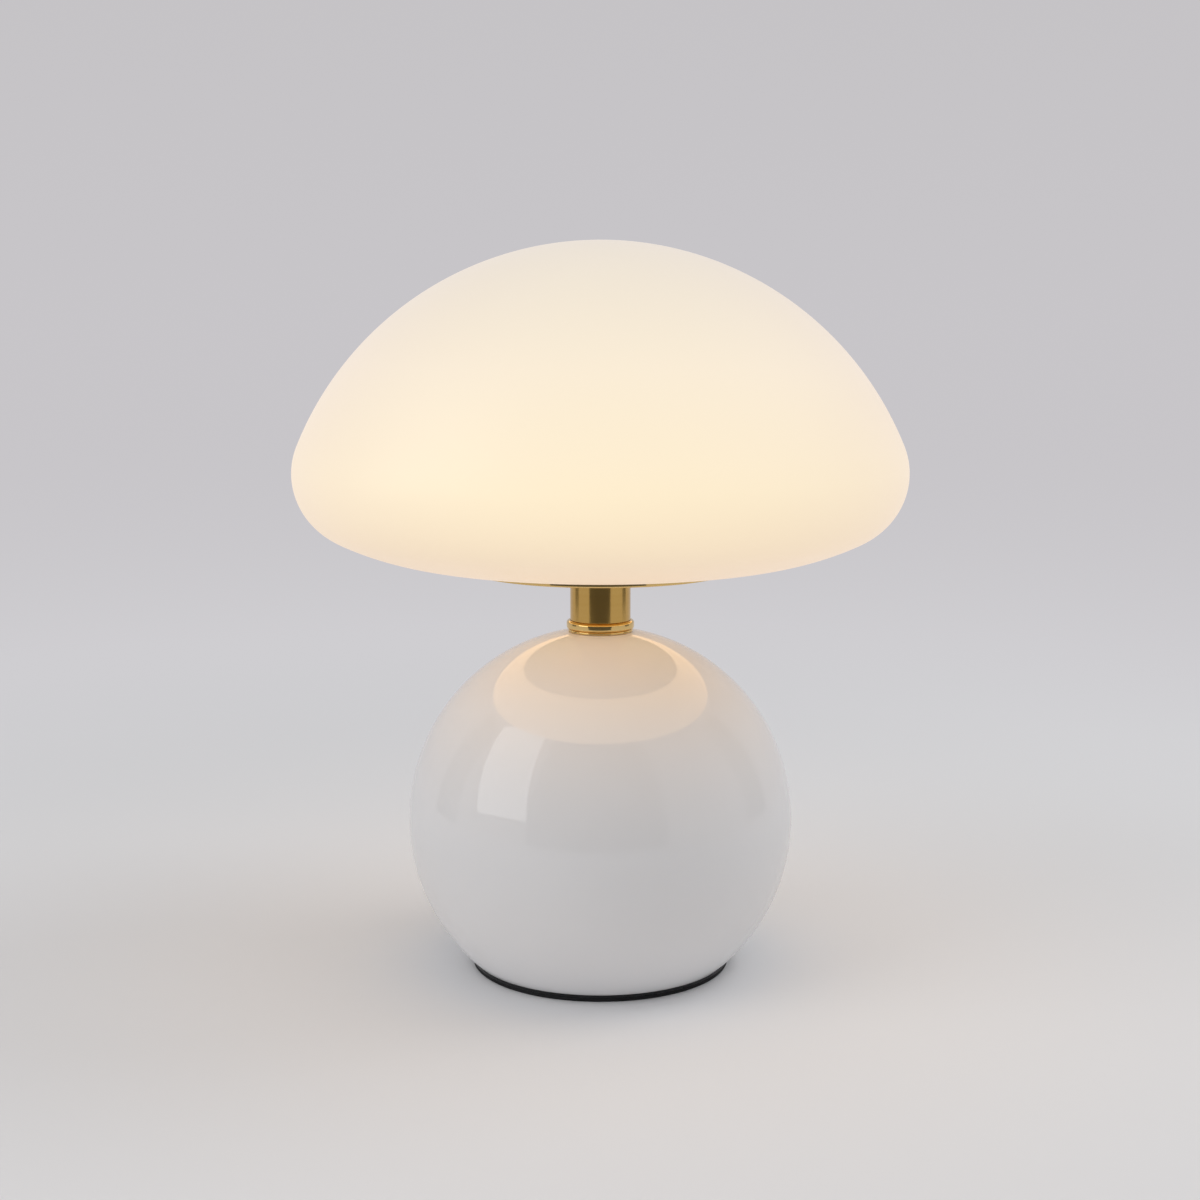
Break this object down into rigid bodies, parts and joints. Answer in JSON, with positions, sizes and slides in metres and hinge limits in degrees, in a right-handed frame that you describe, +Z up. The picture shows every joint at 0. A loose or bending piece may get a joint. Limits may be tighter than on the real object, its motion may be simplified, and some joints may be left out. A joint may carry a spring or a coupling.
{
  "type": "mushroom table lamp",
  "caption": "Cordless mushroom table lamp: opal glass cap on a brass neck and plate, above a weighted glossy ball base with a push button and a charging socket on its back.",
  "frame": {"origin": "on the floor, under the middle of the lamp", "axes": "+Z up along the neck, +Y to the lamp's back, where the button and the charging socket are"},
  "size_m": [0.25, 0.25, 0.3001],
  "materials": {
    "opal_glass": "fire-polished opal, satin gloss",
    "brushed_brass": "turned and brushed",
    "polished_brass": "polished",
    "white_lacquer": "high gloss lacquer",
    "black_paint": "satin black paint",
    "black_rubber": "matt",
    "clear_silicone": "matt silicone",
    "zinc_steel": "zinc plated",
    "cast_weight": "as cast, oiled",
    "turned_aluminium": "turned",
    "white_board": "white solder mask on aluminium",
    "green_board": "solder mask",
    "phosphor": "light chips",
    "frosted_dome": "frosted",
    "black_moulding": "fine grain",
    "cell_wrap": "shrink sleeve",
    "nickel_strip": "nickel",
    "white_moulding": "gloss",
    "socket_steel": "tinned steel",
    "red_black_wire": "insulation"
  },
  "bodies": {
    "base": {"base_pad": "black_rubber", "bottom_cover": "black_paint", "rod_nut_bottom": "zinc_steel", "rod_washer_bottom": "zinc_steel", "ballast_disc": "cast_weight", "ballast_nut": "zinc_steel", "ball_shell": "white_lacquer", "neck_collar": "polished_brass", "neck_tube": "brushed_brass", "threaded_rod": "zinc_steel", "shade_plate": "polished_brass", "rod_washer_top": "zinc_steel", "rod_nut_top": "zinc_steel", "shade_gasket": "clear_silicone", "led_carrier": "turned_aluminium", "led_board": "white_board", "led_chips": "phosphor", "led_screws": "zinc_steel", "diffuser_dome": "frosted_dome", "dome_ring": "turned_aluminium", "ring_screws": "zinc_steel", "battery_tray": "black_moulding", "battery_cells": "cell_wrap", "battery_strips": "nickel_strip", "tray_screws": "zinc_steel", "driver_board": "green_board", "driver_components": "black_moulding", "board_screws": "zinc_steel", "button_ring": "polished_brass", "button_nut": "zinc_steel", "switch_module": "black_moulding", "button_spring": "zinc_steel", "port_bezel": "black_moulding", "usb_socket": "socket_steel", "usb_tongue": "black_moulding", "usb_board": "green_board", "led_leads": "red_black_wire", "switch_leads": "red_black_wire", "usb_leads": "red_black_wire"},
    "shade": {"glass_shade": "opal_glass"},
    "button": {"button_cap": "polished_brass"}
  },
  "joints": [
    {"name": "shade_lift", "type": "slide", "parent": "base", "child": "shade", "axis": [0, 0, 1], "range_m": [0, 0.066]},
    {"name": "button_press", "type": "slide", "parent": "base", "child": "button", "axis": [0, -1, 0], "range_m": [0, 0.0012], "stiffness_N_per_m": 900, "springref_m": -0.001, "deforming": ["button_spring"]}
  ]
}
